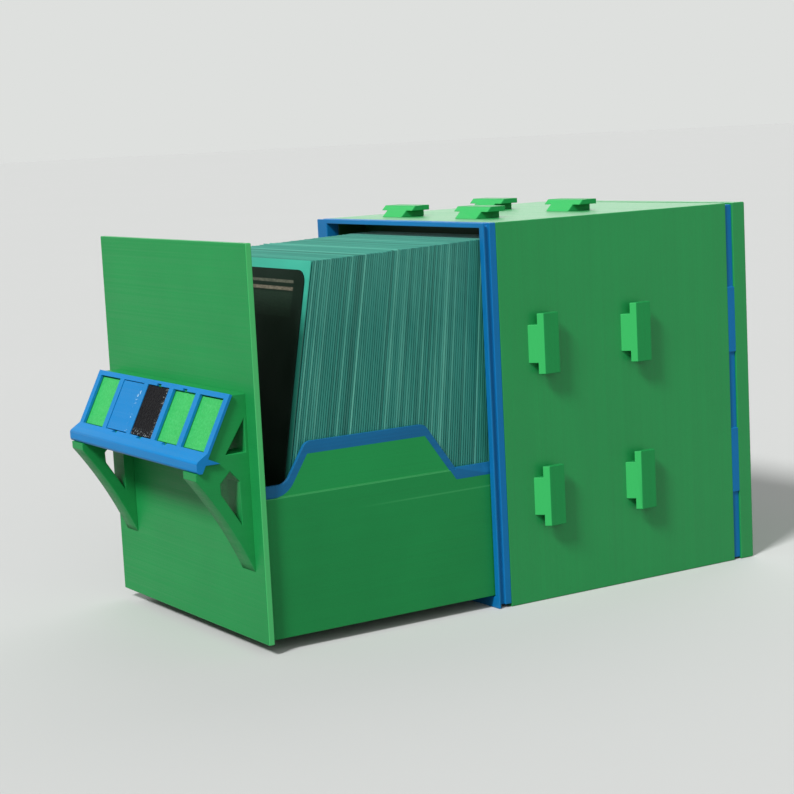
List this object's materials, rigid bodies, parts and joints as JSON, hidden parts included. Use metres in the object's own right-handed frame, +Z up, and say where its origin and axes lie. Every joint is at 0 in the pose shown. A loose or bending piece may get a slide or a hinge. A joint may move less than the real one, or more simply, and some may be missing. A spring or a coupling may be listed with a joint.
{
  "type": "trading card drawer box",
  "caption": "Stackable open-fronted case with T clips and a pull-out drawer of sleeved cards; slanted label handle with lift-out tiles.",
  "frame": {"origin": "centre of the case's underside", "axes": "+Z up, +X across the mouth towards the side with the clips, the mouth and the drawer's front face -Y"},
  "size_m": [0.0871, 0.1702, 0.1031],
  "materials": {
    "case_shell": "satin, fine print layers",
    "front_bezel": "satin, fine print layers",
    "rear_collar": "satin, fine print layers",
    "back_panel": "satin, fine print layers",
    "side_clips": "satin, fine print layers",
    "top_clips": "satin, fine print layers",
    "drawer_tray": "satin, fine print layers",
    "front_panel": "satin, fine print layers",
    "rim_trim_left": "satin, fine print layers",
    "rim_trim_right": "satin, fine print layers",
    "bracket_left": "satin, fine print layers",
    "bracket_right": "satin, fine print layers",
    "label_backing": "satin, fine print layers",
    "label_frame": "satin, fine print layers",
    "card_stack": "satin film",
    "front_sleeve": "satin film",
    "front_card": "glossy film over a dark card",
    "tile_1": "satin, fine print layers",
    "tile_2": "satin, fine print layers",
    "tile_3": "glossy",
    "tile_4": "satin, fine print layers",
    "tile_5": "satin, fine print layers"
  },
  "bodies": {
    "case": {"case_shell": "case_shell", "front_bezel": "front_bezel", "rear_collar": "rear_collar", "back_panel": "back_panel", "side_clips": "side_clips", "top_clips": "top_clips"},
    "drawer": {"drawer_tray": "drawer_tray", "front_panel": "front_panel", "rim_trim_left": "rim_trim_left", "rim_trim_right": "rim_trim_right", "bracket_left": "bracket_left", "bracket_right": "bracket_right", "label_backing": "label_backing", "label_frame": "label_frame", "card_stack": "card_stack"},
    "card": {"front_sleeve": "front_sleeve", "front_card": "front_card"},
    "label_tile_1": {"tile_1": "tile_1"},
    "label_tile_2": {"tile_2": "tile_2"},
    "label_tile_3": {"tile_3": "tile_3"},
    "label_tile_4": {"tile_4": "tile_4"},
    "label_tile_5": {"tile_5": "tile_5"}
  },
  "joints": [
    {"name": "drawer_slide", "type": "slide", "parent": "case", "child": "drawer", "axis": [0, -1, 0], "range_m": [-0.0659, 0.007]},
    {"name": "front_card_tip", "type": "hinge", "parent": "drawer", "child": "card", "pos_m": [0, -0.1096, 0.00472], "axis": [1, 0, 0], "range_deg": [0, 5.5]},
    {"name": "tile_1_lift", "type": "slide", "parent": "drawer", "child": "label_tile_1", "axis": [0, -0.891, 0.454], "range_m": [0, 0.004]},
    {"name": "tile_2_lift", "type": "slide", "parent": "drawer", "child": "label_tile_2", "axis": [0, -0.891, 0.454], "range_m": [0, 0.004]},
    {"name": "tile_3_lift", "type": "slide", "parent": "drawer", "child": "label_tile_3", "axis": [0, -0.891, 0.454], "range_m": [0, 0.004]},
    {"name": "tile_4_lift", "type": "slide", "parent": "drawer", "child": "label_tile_4", "axis": [0, -0.891, 0.454], "range_m": [0, 0.004]},
    {"name": "tile_5_lift", "type": "slide", "parent": "drawer", "child": "label_tile_5", "axis": [0, -0.891, 0.454], "range_m": [0, 0.004]}
  ]
}
